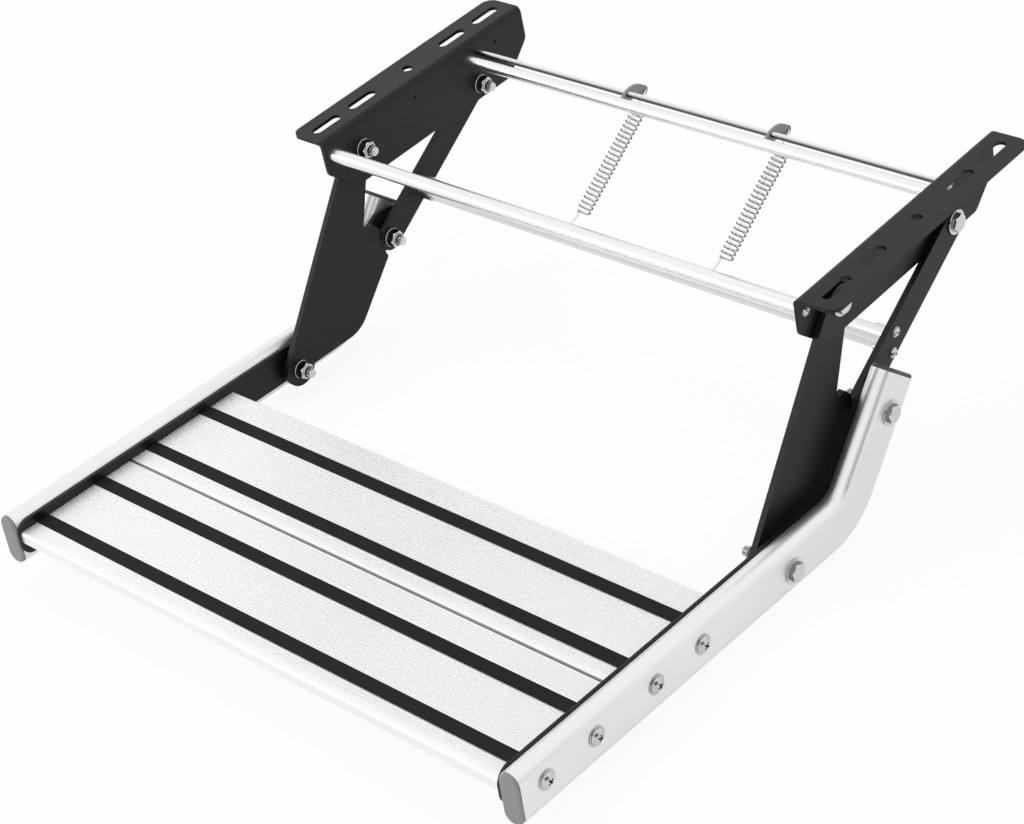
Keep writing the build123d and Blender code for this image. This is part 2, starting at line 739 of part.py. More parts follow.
for number, plank_name in ((0, "front_plank"), (1, "rear_plank")):
    with BuildPart() as plank:
        with BuildSketch(plank_plane(number)):
            with BuildLine():
                Polyline(
                    (0, 0),
                    (plank_back, 0),
                    (plank_back, -plank_thickness),
                    (lip_run, -plank_thickness),
                    (lip_run, cell_top),
                    (lip_wall, cell_top),
                    (lip_wall, -lip_height),
                    (0, -lip_height),
                    close=True,
                )
            make_face()
            fillet(vertices().sort_by_distance((0, 0, 0))[0], nose_round)
            fillet(vertices().sort_by_distance((plank_back, 0, 0))[0], nose_round / 2)
            with Locations(*[(spot, -rib_depth / 2) for spot in groove_spots]):
                Rectangle(rib_groove, rib_depth, mode=Mode.SUBTRACT)
            with Locations(*[(spot, -strip_recess / 2) for spot in strip_spots]):
                Rectangle(strip_width, strip_recess, mode=Mode.SUBTRACT)
            for cell_start, cell_end in cells:
                with Locations(((cell_start + cell_end) / 2, (cell_top + cell_bottom) / 2)):
                    Rectangle(cell_end - cell_start, cell_top - cell_bottom, mode=Mode.SUBTRACT)
            with Locations(*[(port, -port_drop) for port in port_spots]):
                Circle(tread_screw_radius + running_fit, mode=Mode.SUBTRACT)
        extrude(amount=2 * plate_inner)
    plank.part.label = plank_name
    export_step(plank.part, f"parts/{plank_name}.step")

    # Its two grip strips, smooth with eased edges
    for strip_number, strip_spot in enumerate(strip_spots):
        strip_name = f"{plank_name}_strip_{strip_number + 1}"
        with BuildPart() as strip:
            with BuildSketch(plank_plane(number)):
                with Locations((strip_spot, (strip_proud - strip_recess) / 2)):
                    Rectangle(strip_width, strip_recess + strip_proud)
                chamfer(vertices().sort_by(Axis.Y)[-2:], strip_edge)
            extrude(amount=2 * plate_inner)
        strip.part.label = strip_name
        export_step(strip.part, f"parts/{strip_name}.step")


# Tread screws through the arms into the planks
with BuildPart() as tread_screws:
    with BuildSketch(side_plane(arm_outer, lower_pivot, step_pitch)):
        with Locations(*port_list):
            Circle(tread_head_radius)
    extrude(amount=tread_head_height)
    chamfer(tread_screws.faces().sort_by(Axis.X)[-4:].edges(), tread_head_edge)
    with BuildSketch(side_plane(arm_outer, lower_pivot, step_pitch)):
        with Locations(*port_list):
            Circle(tread_screw_radius)
    extrude(amount=-arm_width - plate_thickness - tread_screw_grip)
    mirror(about=Plane.YZ)
tread_screws.part.label = "tread_screws"
export_step(tread_screws.part, "parts/tread_screws.step")


# Pivot bolts of the brackets: head outside the links, nut inside the webs
bracket_spots = (front_pivot, rear_pivot)
nut_stack = nut_height + nut_collar_height
link_head_at = link_outer + axial_play + washer_thickness
web_nut_at = web_inner - washer_thickness
web_tip_at = web_nut_at - nut_stack - bolt_tip
with BuildPart() as bracket_bolts:
    with BuildSketch(side_plane(link_head_at, (0, 0))):
        with Locations(*bracket_spots):
            RegularPolygon(bolt_head_flats / 2, 6, major_radius=False)
    extrude(amount=bolt_head_height)
    with BuildSketch(side_plane(link_head_at, (0, 0))):
        with Locations(*bracket_spots):
            Circle(bolt_radius)
    extrude(amount=web_tip_at - link_head_at)
    chamfer(bracket_bolts.faces().sort_by(Axis.X)[:2].edges(), bolt_point)
    mirror(about=Plane.YZ)
bracket_bolts.part.label = "bracket_bolts"
export_step(bracket_bolts.part, "parts/bracket_bolts.step")

with BuildPart() as bracket_washers:
    for washer_at, ring_radius in ((link_outer + axial_play, washer_radius), (web_nut_at, nut_washer_radius)):
        with BuildSketch(side_plane(washer_at, (0, 0))):
            with Locations(*bracket_spots):
                Circle(ring_radius)
                Circle(bolt_radius + running_fit, mode=Mode.SUBTRACT)
        extrude(amount=washer_thickness)
    mirror(about=Plane.YZ)
bracket_washers.part.label = "bracket_washers"
export_step(bracket_washers.part, "parts/bracket_washers.step")

with BuildPart() as bracket_nuts:
    with BuildSketch(side_plane(web_nut_at, (0, 0))):
        with Locations(*bracket_spots):
            RegularPolygon(bolt_head_flats / 2, 6, major_radius=False)
    extrude(amount=-nut_height)
    with BuildSketch(side_plane(web_nut_at - nut_height, (0, 0))):
        with Locations(*bracket_spots):
            Circle(nut_collar_radius)
    extrude(amount=-nut_collar_height)
    with BuildSketch(side_plane(web_nut_at, (0, 0))):
        with Locations(*bracket_spots):
            Circle(bolt_radius + running_fit)
    extrude(amount=-nut_stack, mode=Mode.SUBTRACT)
    mirror(about=Plane.YZ)
bracket_nuts.part.label = "bracket_nuts"
export_step(bracket_nuts.part, "parts/bracket_nuts.step")

with BuildPart() as bracket_spacers:
    with BuildSketch(side_plane(web_outer, (0, 0))):
        with Locations(*bracket_spots):
            Circle(bush_radius)
            Circle(bolt_radius + running_fit, mode=Mode.SUBTRACT)
    extrude(amount=spacer)
    mirror(about=Plane.YZ)
bracket_spacers.part.label = "bracket_spacers"
export_step(bracket_spacers.part, "parts/bracket_spacers.step")


# Upper pivot bolts: fixed in the arms, the rear links turn on them
arm_head_at = arm_outer + washer_thickness
link_nut_at = link_inner - axial_play - washer_thickness
link_tip_at = link_nut_at - nut_stack - bolt_tip
with BuildPart() as upper_bolts:
    with BuildSketch(side_plane(arm_head_at, upper_pivot)):
        RegularPolygon(bolt_head_flats / 2, 6, major_radius=False)
    extrude(amount=bolt_head_height)
    with BuildSketch(side_plane(arm_head_at, upper_pivot)):
        Circle(bolt_radius)
    extrude(amount=link_tip_at - arm_head_at)
    chamfer(upper_bolts.faces().sort_by(Axis.X)[0].edges(), bolt_point)
    mirror(about=Plane.YZ)
upper_bolts.part.label = "upper_bolts"
export_step(upper_bolts.part, "parts/upper_bolts.step")

with BuildPart() as upper_washers:
    for washer_at, ring_radius in ((arm_outer, washer_radius), (link_nut_at, nut_washer_radius)):
        with BuildSketch(side_plane(washer_at, upper_pivot)):
            Circle(ring_radius)
            Circle(bolt_radius + running_fit, mode=Mode.SUBTRACT)
        extrude(amount=washer_thickness)
    mirror(about=Plane.YZ)
upper_washers.part.label = "upper_washers"
export_step(upper_washers.part, "parts/upper_washers.step")

with BuildPart() as upper_nuts:
    with BuildSketch(side_plane(link_nut_at, upper_pivot)):
        RegularPolygon(bolt_head_flats / 2, 6, major_radius=False)
    extrude(amount=-nut_height)
    with BuildSketch(side_plane(link_nut_at - nut_height, upper_pivot)):
        Circle(nut_collar_radius)
    extrude(amount=-nut_collar_height)
    with BuildSketch(side_plane(link_nut_at, upper_pivot)):
        Circle(bolt_radius + running_fit)
    extrude(amount=-nut_stack, mode=Mode.SUBTRACT)
    mirror(about=Plane.YZ)
upper_nuts.part.label = "upper_nuts"
export_step(upper_nuts.part, "parts/upper_nuts.step")

with BuildPart() as upper_spacers:
    with BuildSketch(side_plane(plate_inner, upper_pivot)):
        Circle(bush_radius)
        Circle(bolt_radius + running_fit, mode=Mode.SUBTRACT)
    extrude(amount=-bush)
    mirror(about=Plane.YZ)
upper_spacers.part.label = "upper_spacers"
export_step(upper_spacers.part, "parts/upper_spacers.step")


# Lower pivot: the head half stays in the arm, the nut half turns with the front link
with BuildPart() as lower_bolts:
    with BuildSketch(side_plane(arm_head_at, lower_pivot)):
        RegularPolygon(bolt_head_flats / 2, 6, major_radius=False)
    extrude(amount=bolt_head_height)
    with BuildSketch(side_plane(arm_head_at, lower_pivot)):
        Circle(bolt_radius)
    extrude(amount=plate_inner - arm_head_at)
    mirror(about=Plane.YZ)
lower_bolts.part.label = "lower_bolts"
export_step(lower_bolts.part, "parts/lower_bolts.step")

with BuildPart() as lower_head_washers:
    with BuildSketch(side_plane(arm_outer, lower_pivot)):
        Circle(washer_radius)
        Circle(bolt_radius + running_fit, mode=Mode.SUBTRACT)
    extrude(amount=washer_thickness)
    mirror(about=Plane.YZ)
lower_head_washers.part.label = "lower_head_washers"
export_step(lower_head_washers.part, "parts/lower_head_washers.step")

lower_nut_at = link_inner - washer_thickness
lower_tip_at = lower_nut_at - nut_stack - bolt_tip
with BuildPart() as lower_bolt_ends:
    with BuildSketch(side_plane(link_outer + bush, lower_pivot)):
        Circle(bolt_radius)
    extrude(amount=lower_tip_at - link_outer - bush)
    chamfer(lower_bolt_ends.faces().sort_by(Axis.X)[0].edges(), bolt_point)
    mirror(about=Plane.YZ)
lower_bolt_ends.part.label = "lower_bolt_ends"
export_step(lower_bolt_ends.part, "parts/lower_bolt_ends.step")

with BuildPart() as lower_nut_washers:
    with BuildSketch(side_plane(lower_nut_at, lower_pivot)):
        Circle(nut_washer_radius)
        Circle(bolt_radius + running_fit, mode=Mode.SUBTRACT)
    extrude(amount=washer_thickness)
    mirror(about=Plane.YZ)
lower_nut_washers.part.label = "lower_nut_washers"
export_step(lower_nut_washers.part, "parts/lower_nut_washers.step")

with BuildPart() as lower_nuts:
    with BuildSketch(side_plane(lower_nut_at, lower_pivot)):
        RegularPolygon(bolt_head_flats / 2, 6, major_radius=False)
    extrude(amount=-nut_height)
    with BuildSketch(side_plane(lower_nut_at - nut_height, lower_pivot)):
        Circle(nut_collar_radius)
    extrude(amount=-nut_collar_height)
    with BuildSketch(side_plane(lower_nut_at, lower_pivot)):
        Circle(bolt_radius + running_fit)
    extrude(amount=-nut_stack, mode=Mode.SUBTRACT)
    mirror(about=Plane.YZ)
lower_nuts.part.label = "lower_nuts"
export_step(lower_nuts.part, "parts/lower_nuts.step")

with BuildPart() as lower_spacers:
    with BuildSketch(side_plane(link_outer, lower_pivot)):
        Circle(bush_radius)
        Circle(bolt_radius + running_fit, mode=Mode.SUBTRACT)
    extrude(amount=bush)
    mirror(about=Plane.YZ)
lower_spacers.part.label = "lower_spacers"
export_step(lower_spacers.part, "parts/lower_spacers.step")
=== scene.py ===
import bpy
import bmesh
import math
from mathutils import Matrix, Vector


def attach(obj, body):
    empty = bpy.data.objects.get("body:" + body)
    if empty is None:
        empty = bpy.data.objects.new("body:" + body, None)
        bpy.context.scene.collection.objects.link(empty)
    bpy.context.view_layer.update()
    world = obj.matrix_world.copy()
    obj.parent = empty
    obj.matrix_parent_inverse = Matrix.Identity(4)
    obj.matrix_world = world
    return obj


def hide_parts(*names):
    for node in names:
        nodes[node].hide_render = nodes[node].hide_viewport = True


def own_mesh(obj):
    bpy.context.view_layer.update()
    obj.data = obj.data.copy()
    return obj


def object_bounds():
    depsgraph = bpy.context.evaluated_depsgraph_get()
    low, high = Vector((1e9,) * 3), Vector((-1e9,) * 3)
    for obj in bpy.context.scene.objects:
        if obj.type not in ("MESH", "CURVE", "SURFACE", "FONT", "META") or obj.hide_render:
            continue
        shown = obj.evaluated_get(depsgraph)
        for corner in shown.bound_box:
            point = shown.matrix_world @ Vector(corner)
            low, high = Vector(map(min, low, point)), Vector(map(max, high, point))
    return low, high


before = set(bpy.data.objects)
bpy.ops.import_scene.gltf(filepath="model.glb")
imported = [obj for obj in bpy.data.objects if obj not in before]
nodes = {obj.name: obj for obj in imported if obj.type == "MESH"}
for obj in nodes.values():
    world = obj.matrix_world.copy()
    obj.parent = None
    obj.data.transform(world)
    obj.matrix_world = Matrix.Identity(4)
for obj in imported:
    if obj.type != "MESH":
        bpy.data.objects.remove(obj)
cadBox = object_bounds()
mm = 0.001
print("frame loaded,", len(nodes), "nodes")


def setSocket(tree, socket, value):  # links another socket, or sets a plain value
    if isinstance(value, bpy.types.NodeSocket):
        tree.links.new(value, socket)
    else:
        socket.default_value = value


def addNode(tree, kind, settings=None, **sockets):  # a node with its settings, its sockets set or linked
    node = tree.nodes.new(kind)
    for label, value in (settings or {}).items():
        setattr(node, label, value)
    for label, value in sockets.items():
        setSocket(tree, node.inputs[label.replace("_", " ")], value)
    return node


def inOrder(tree, kind, operation, *values):  # a sum whose inputs are filled in order
    node = addNode(tree, kind, {"operation": operation})
    for socket, value in zip(node.inputs, values):
        setSocket(tree, socket, value)
    return node


def number(tree, operation, *values):
    return inOrder(tree, "ShaderNodeMath", operation, *values).outputs[0]


def times(tree, a, b):
    return number(tree, "MULTIPLY", a, b)


def newTree(name, inputs):  # a geometry tree with named number inputs and one mesh output
    tree = bpy.data.node_groups.new(name, "GeometryNodeTree")
    tree.interface.new_socket("Geometry", in_out="INPUT", socket_type="NodeSocketGeometry")
    for label, value in inputs.items():
        kind = "NodeSocketInt" if isinstance(value, int) else "NodeSocketFloat"
        tree.interface.new_socket(label, in_out="INPUT", socket_type=kind).default_value = value
    tree.interface.new_socket("Geometry", in_out="OUTPUT", socket_type="NodeSocketGeometry")
    return tree, tree.nodes.new("NodeGroupInput").outputs, tree.nodes.new("NodeGroupOutput").inputs


def table(tree, values):  # gives each point of a line its own number
    switch = addNode(tree, "GeometryNodeIndexSwitch", {"data_type": "FLOAT"})
    while len(switch.index_switch_items) < len(values):
        switch.index_switch_items.new()
    for k, value in enumerate(values):
        switch.inputs[k + 1].default_value = value
    tree.links.new(tree.nodes.new("GeometryNodeInputIndex").outputs[0], switch.inputs[0])
    return switch.outputs[0]


def turnedShape(tree, rings, radius, height, sides):  # rings of (radius, height) swept round Z and closed
    line = addNode(tree, "GeometryNodeMeshLine", Count=len(rings))
    axis = addNode(tree, "GeometryNodeMeshToCurve", Mesh=line.outputs[0])
    spot = addNode(tree, "ShaderNodeCombineXYZ", Z=times(tree, table(tree, [z for r, z in rings]), height))
    placed = addNode(tree, "GeometryNodeSetPosition", Geometry=axis.outputs[0], Position=spot.outputs[0])
    ring = addNode(tree, "GeometryNodeCurvePrimitiveCircle", Resolution=sides, Radius=1.0)
    wide = times(tree, table(tree, [r for r, z in rings]), radius)
    swept = addNode(tree, "GeometryNodeCurveToMesh", Curve=placed.outputs[0], Profile_Curve=ring.outputs[0],
                    Scale=wide, Fill_Caps=True)
    return swept.outputs[0]


def moved(tree, solid, z):
    spot = addNode(tree, "ShaderNodeCombineXYZ", Z=z)
    return addNode(tree, "GeometryNodeTransform", Geometry=solid, Translation=spot.outputs[0]).outputs[0]


def together(tree, solids):
    node = tree.nodes.new("GeometryNodeJoinGeometry")
    for solid in solids:
        tree.links.new(solid, node.inputs[0])
    return node.outputs[0]


def boolean(tree, operation, solids, **base):  # what solids share, or a base with the solids cut away
    node = addNode(tree, "GeometryNodeMeshBoolean", {"operation": operation, "solver": "EXACT"}, **base)
    for solid in solids:
        tree.links.new(solid, node.inputs["Mesh 2"])
    return node.outputs[0]


def plainMesh(name, tree, values, seedMesh):  # runs a tree on a seed mesh and keeps a plain mesh
    seed = bpy.data.objects.new(name + "Seed", seedMesh)
    bpy.context.scene.collection.objects.link(seed)
    modifier = seed.modifiers.new("tree", "NODES")
    modifier.node_group = tree
    for item in tree.interface.items_tree:
        if item.in_out == "INPUT" and item.name in values:
            modifier[item.identifier] = values[item.name]
    graph = bpy.context.evaluated_depsgraph_get()
    mesh = bpy.data.meshes.new_from_object(seed.evaluated_get(graph))
    seed.modifiers.clear()
    bpy.data.objects.remove(seed)
    mesh.name = name
    return mesh


joining = {"weld": 0.002 * mm, "crease": 32.0}


def onePiece(name, meshes, crease=joining["crease"]):  # joins meshes into one smooth object at the origin
    whole = bmesh.new()
    materials = []
    for mesh in meshes:
        first = len(whole.faces)
        whole.from_mesh(mesh)
        whole.faces.ensure_lookup_table()
        for face in whole.faces[first:]:
            material = mesh.materials[face.material_index]
            if material not in materials:
                materials.append(material)
            face.material_index = materials.index(material)
    bmesh.ops.remove_doubles(whole, verts=whole.verts, dist=joining["weld"])
    bmesh.ops.recalc_face_normals(whole, faces=whole.faces)
    mesh = bpy.data.meshes.new(name)
    whole.to_mesh(mesh)
    whole.free()
    for material in materials:
        mesh.materials.append(material)
    mesh.shade_smooth()
    mesh.set_sharp_from_angle(angle=math.radians(crease))
    piece = bpy.data.objects.new(name, mesh)
    bpy.context.scene.collection.objects.link(piece)
    return piece


def evenFlats(piece):  # keeps flat faces flat beside rounded edges
    piece.modifiers.new("flats", "WEIGHTED_NORMAL").keep_sharp = True


def hand(piece, body, slot, *replaced):  # what a piece moves with, its finish slot (not used) and what it stands for
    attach(piece, body)
    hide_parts(*replaced)


# shader groups shared by several finishes
def shaderGroup(name, inputs, outputs):
    group = bpy.data.node_groups.new(name, "ShaderNodeTree")
    for label, value in inputs.items():
        kind = "NodeSocketVector" if label == "Vector" else "NodeSocketFloat"
        socket = group.interface.new_socket(label, in_out="INPUT", socket_type=kind)
        if kind == "NodeSocketFloat":
            socket.default_value = value
    for label in outputs:
        group.interface.new_socket(label, in_out="OUTPUT", socket_type="NodeSocketFloat")
    return group, group.nodes.new("NodeGroupInput").outputs, group.nodes.new("NodeGroupOutput").inputs


def noise(tree, vector, scale, detail):
    return addNode(tree, "ShaderNodeTexNoise", Vector=vector, Scale=scale, Detail=detail).outputs["Fac"]


drawn = {"lineDetail": 3.0, "hazeScale": 9.0, "hazeDetail": 4.0, "streakShare": 0.14, "streakDetail": 2.0}


def makeDrawnLines():  # fine lines and wider streaks drawn along X by the extrusion die, and a slow haze
    group, into, out = shaderGroup("drawnLines", {"Vector": 0, "Scale": 900.0, "Stretch": 0.01},
                                   ["Lines", "Haze", "Streaks"])
    stretch = addNode(group, "ShaderNodeCombineXYZ", X=into["Stretch"], Y=1.0, Z=1.0)
    pull = inOrder(group, "ShaderNodeVectorMath", "MULTIPLY", into["Vector"], stretch.outputs[0]).outputs[0]
    wider = times(group, into["Scale"], drawn["streakShare"])
    group.links.new(noise(group, pull, into["Scale"], drawn["lineDetail"]), out["Lines"])
    group.links.new(noise(group, into["Vector"], drawn["hazeScale"], drawn["hazeDetail"]), out["Haze"])
    group.links.new(noise(group, pull, wider, drawn["streakDetail"]), out["Streaks"])
    return group


coat = {"peelDetail": 2.0, "glossScale": 22.0, "glossDetail": 5.0}


def makeCoatGrain():  # powder coat: fine orange peel and a slow change of gloss
    group, into, out = shaderGroup("coatGrain", {"Vector": 0, "Scale": 1400.0}, ["Peel", "Gloss"])
    group.links.new(noise(group, into["Vector"], into["Scale"], coat["peelDetail"]), out["Peel"])
    group.links.new(noise(group, into["Vector"], coat["glossScale"], coat["glossDetail"]), out["Gloss"])
    return group


def makePaintedSideShade():  # painted shade: 1 on the side of a bar that faces a given way, 0 elsewhere
    group, into, out = shaderGroup("paintedSideShade", {"Vector": 0, "Across": 0.0, "Up": 0.0, "From": 0.5, "To": 0.9},
                                   ["Share"])
    way = addNode(group, "ShaderNodeCombineXYZ", Y=into["Across"], Z=into["Up"])
    facing = inOrder(group, "ShaderNodeVectorMath", "DOT_PRODUCT", into["Vector"], way.outputs[0])
    share = addNode(group, "ShaderNodeMapRange", Value=facing.outputs["Value"], From_Min=into["From"],
                    From_Max=into["To"])
    group.links.new(share.outputs["Result"], out["Share"])
    return group


drawnLines = makeDrawnLines()
coatGrain = makeCoatGrain()
paintedSideShade = makePaintedSideShade()
noiseLow, noiseHigh = 0.3, 0.7  # where most of a noise value lies
bumpDepth = 0.1 * mm


def baseMaterial(look):
    material = bpy.data.materials.new(look["name"])
    material.use_nodes = True
    tree = material.node_tree
    shader = tree.nodes["Principled BSDF"]
    shader.inputs["Specular IOR Level"].default_value = look["gleam"]
    shader.inputs["Metallic"].default_value = look["metal"]
    return material, tree, shader, tree.nodes.new("ShaderNodeTexCoord").outputs["Object"]


def spread(tree, source, low, high):  # maps a noise value to a range
    ramp = addNode(tree, "ShaderNodeMapRange", Value=source, From_Min=noiseLow, From_Max=noiseHigh,
                   To_Min=low, To_Max=high)
    return ramp.outputs["Result"]


def tint(tree, source, dark, light):  # maps a noise value between two colours
    ramp = addNode(tree, "ShaderNodeValToRGB", Fac=source)
    for element, position, colour in zip(ramp.color_ramp.elements, (noiseLow, noiseHigh), (dark, light)):
        element.position = position
        element.color = (*colour, 1)
    return ramp.outputs["Color"]


def bump(tree, shader, source, strength):
    node = addNode(tree, "ShaderNodeBump", Strength=strength, Distance=bumpDepth, Height=source)
    tree.links.new(node.outputs["Normal"], shader.inputs["Normal"])


def coated(look):  # black coated sheet and plate, moulded caps, grip rubber
    material, tree, shader, vector = baseMaterial(look)
    grain = addNode(tree, "ShaderNodeGroup", {"node_tree": coatGrain}, Scale=look["grain"], Vector=vector)
    tree.links.new(tint(tree, grain.outputs["Gloss"], look["dark"], look["light"]), shader.inputs["Base Color"])
    tree.links.new(spread(tree, grain.outputs["Gloss"], *look["rough"]), shader.inputs["Roughness"])
    bump(tree, shader, grain.outputs["Peel"], look["bump"])
    return material


def bright(look):  # bare, anodised or plated metal with drawn lines
    material, tree, shader, vector = baseMaterial(look)
    turned = addNode(tree, "ShaderNodeMapping", Vector=vector, Rotation=look["turn"])
    lines = addNode(tree, "ShaderNodeGroup", {"node_tree": drawnLines}, Scale=look["lines"],
                    Stretch=look["stretch"], Vector=turned.outputs["Vector"])
    colour = tint(tree, lines.outputs[look["tint"]], look["dark"], look["light"])
    # painted shade: the side that faces the given way is mixed toward a dark tone, standing in for shade and
    # dark reflections there
    if "paintedShadeFacing" in look:
        normal = tree.nodes.new("ShaderNodeTexCoord").outputs["Normal"]
        side = addNode(tree, "ShaderNodeGroup", {"node_tree": paintedSideShade}, Vector=normal, **look["paintedShadeFacing"])
        mix = addNode(tree, "ShaderNodeMix", {"data_type": "RGBA"})
        tree.links.new(side.outputs["Share"], mix.inputs["Factor"])
        tree.links.new(colour, mix.inputs["A"])
        mix.inputs["B"].default_value = (*look["paintedShadeTone"], 1)
        colour = mix.outputs["Result"]
    tree.links.new(colour, shader.inputs["Base Color"])
    tree.links.new(spread(tree, lines.outputs["Lines"], *look["rough"]), shader.inputs["Roughness"])
    bump(tree, shader, lines.outputs["Lines"], look["bump"])
    return material


def grey(value, blue=None):
    return (value, value, value if blue is None else blue)


# coated and moulded finishes
moulded = {"grain": 2200.0, "rough": (0.5, 0.6), "bump": 0.12, "gleam": 0.3, "metal": 0.0}
blackCoat = coated({"name": "blackCoat", "grain": 1500.0, "dark": grey(0.005, 0.0053),
                    "light": grey(0.008, 0.0083), "rough": (0.38, 0.48), "bump": 0.10, "gleam": 0.30,
                    "metal": 0.0})
capPale = coated({**moulded, "name": "capPale", "dark": grey(0.27, 0.275), "light": grey(0.32, 0.325)})
capDark = coated({**moulded, "name": "capDark", "dark": grey(0.085, 0.087), "light": grey(0.12, 0.122)})
gripRubber = coated({"name": "gripRubber", "grain": 3200.0, "dark": grey(0.009), "light": grey(0.014),
                     "rough": (0.60, 0.74), "bump": 0.25, "gleam": 0.15, "metal": 0.0})
nylonBlack = coated({"name": "nylonBlack", "grain": 2600.0, "dark": grey(0.012), "light": grey(0.018),
                     "rough": (0.45, 0.55), "bump": 0.1, "gleam": 0.2, "metal": 0.0})

# metals; lines run along X unless turned
metal = {"turn": (0, 0, 0), "tint": "Haze", "bump": 0.02, "gleam": 0.5, "metal": 1.0}
tread = {**metal, "lines": 1700.0, "stretch": 0.008, "bump": 0.004}
barMetal = {**metal, "lines": 2100.0, "stretch": 0.01, "tint": "Streaks", "bump": 0.0}
zinc = {**metal, "lines": 900.0, "stretch": 1.0}
armSilver = bright({**metal, "name": "armSilver", "turn": (0, 0, math.pi / 2), "lines": 1300.0, "stretch": 0.01,
                    "dark": grey(0.86, 0.865), "light": grey(0.90, 0.905), "rough": (0.36, 0.42)})
treadSilver = bright({**tread, "name": "treadSilver", "dark": grey(0.945), "light": grey(0.97),
                      "rough": (0.48, 0.52), "metal": 0.75})
# darker copies of the tread metal: painted shade in the rib grooves and painted shadow on the rear plank's nose
# at the seam
treadGrooveShade = bright({**tread, "name": "treadGrooveShade", "dark": grey(0.925), "light": grey(0.95),
                      "rough": (0.48, 0.52), "metal": 0.6})
treadSeamShade = bright({**tread, "name": "treadSeamShade", "dark": grey(0.20), "light": grey(0.26),
                    "rough": (0.40, 0.50), "metal": 0.6})
tubeBright = bright({**barMetal, "name": "tubeBright", "dark": grey(0.84), "light": grey(0.93),
                     "rough": (0.26, 0.28)})
barSilver = bright({**metal, "name": "barSilver", "lines": 1500.0, "stretch": 0.008, "tint": "Streaks",
                    "dark": grey(0.66, 0.665), "light": grey(0.90, 0.905), "rough": (0.30, 0.40)})
# the rod's front side gets a painted reflection: dark, as if mirroring the shaded back of the upper tube
rodSteel = bright({**barMetal, "name": "rodSteel", "dark": grey(0.80), "light": grey(0.92),
                   "rough": (0.20, 0.28), "paintedShadeTone": grey(0.13),
                   "paintedShadeFacing": {"Across": -0.98, "Up": -0.10, "From": 0.42, "To": 0.78}})
zincPlate = bright({**zinc, "name": "zincPlate", "dark": grey(0.64, 0.635), "light": grey(0.72, 0.71),
                    "rough": (0.10, 0.16)})
screwZinc = bright({**zinc, "name": "screwZinc", "dark": grey(0.58, 0.575), "light": grey(0.66, 0.65),
                    "rough": (0.20, 0.26)})
# painted shade: a near-black copy of the plating for recesses, nut washer faces, collar ends and every second
# nut side
zincShade = bright({**zinc, "name": "zincShade", "dark": grey(0.045, 0.044), "light": grey(0.09, 0.088),
                    "rough": (0.16, 0.24)})
# painted shade: a darker copy of the plating for the upright sides of hex heads and nuts, bolt washer rims and
# the stud core
zincSideShade = bright({**zinc, "name": "zincSideShade", "dark": grey(0.20, 0.198), "light": grey(0.30, 0.297),
                   "rough": (0.16, 0.24)})
# the spring wire's lower front side gets painted shade
springSteel = bright({**metal, "name": "springSteel", "lines": 1500.0, "stretch": 1.0, "dark": grey(0.80),
                      "light": grey(0.90), "rough": (0.12, 0.18), "paintedShadeTone": grey(0.05),
                      "paintedShadeFacing": {"Across": -0.60, "Up": -0.80, "From": 0.22, "To": 0.62}})
anchorGrey = bright({**metal, "name": "anchorGrey", "lines": 1100.0, "stretch": 1.0, "dark": grey(0.24),
                     "light": grey(0.30), "rough": (0.36, 0.46), "bump": 0.05, "gleam": 0.35, "metal": 0.3})

finishes = {
    blackCoat: ["left_bracket", "right_bracket", "left_front_link", "right_front_link", "left_rear_link",
                "right_rear_link", "left_plate", "right_plate"],
    gripRubber: ["front_plank_strip_1", "front_plank_strip_2", "rear_plank_strip_1", "rear_plank_strip_2"],
    nylonBlack: ["bracket_spacers", "upper_spacers", "lower_spacers"],
    anchorGrey: ["left_anchor", "right_anchor"],
}
for material, group in finishes.items():
    for name in group:
        nodes[name].data.materials.clear()
        nodes[name].data.materials.append(material)
print("finishes given to", sum(len(g) for g in finishes.values()), "nodes")


def copied(node, *materials):  # a node's mesh with new materials, the first of them everywhere
    mesh = nodes[node].data.copy()
    mesh.materials.clear()
    for material in materials:
        mesh.materials.append(material)
    for polygon in mesh.polygons:
        polygon.material_index = 0
    return mesh


# end caps keep their solid's shape and get smooth sides
endCaps = [
    ("leftFrontCap", "left_front_cap", capPale),
    ("rightFrontCap", "right_front_cap", capPale),
    ("leftTopCap", "left_top_cap", capDark),
    ("rightTopCap", "right_top_cap", capDark),
]
for name, node, material in endCaps:
    piece = onePiece(name, [copied(node, material)])
    evenFlats(piece)
    hand(piece, "step", "end_cap", node)
print("end caps smoothed:", len(endCaps))

# planks keep their solid's shape; the rib grooves and the seam between them get painted shade, darker copies of
# the tread metal
plank = {"lean": 3.5, "groove": (0.1, 0.85), "seam": 4.0,
         "floorFacing": 0.95, "wallFacing": 0.1, "endFacing": 0.5, "seamFacing": -0.3}
plankLooks = [treadSilver, treadGrooveShade, treadSeamShade]
top = Vector((0, math.sin(math.radians(plank["lean"])), math.cos(math.radians(plank["lean"]))))
for name, node, seamed in (("frontPlank", "front_plank", False), ("rearPlank", "rear_plank", True)):
    mesh = copied(node, *plankLooks)
    level = max(v.co.dot(top) for v in mesh.vertices)
    front = min(v.co.y for v in mesh.vertices)
    for polygon in mesh.polygons:
        depth = (level - polygon.center.dot(top)) / mm
        facing = polygon.normal.dot(top)
        lengthways = abs(polygon.normal.x) < plank["endFacing"]
        ribbed = lengthways and (facing > plank["floorFacing"] or abs(facing) < plank["wallFacing"])
        inGroove = ribbed and plank["groove"][0] < depth < plank["groove"][1]
        nearFront = polygon.center.y - front < plank["seam"] * mm and depth < plank["seam"]
        inSeam = seamed and nearFront and polygon.normal.y < plank["seamFacing"]
        look = treadSeamShade if inSeam else treadGrooveShade if inGroove else treadSilver
        polygon.material_index = plankLooks.index(look)
    piece = onePiece(name, [mesh])
    evenFlats(piece)
    hand(piece, "step", "tread_aluminium", node)
print("planks copied")


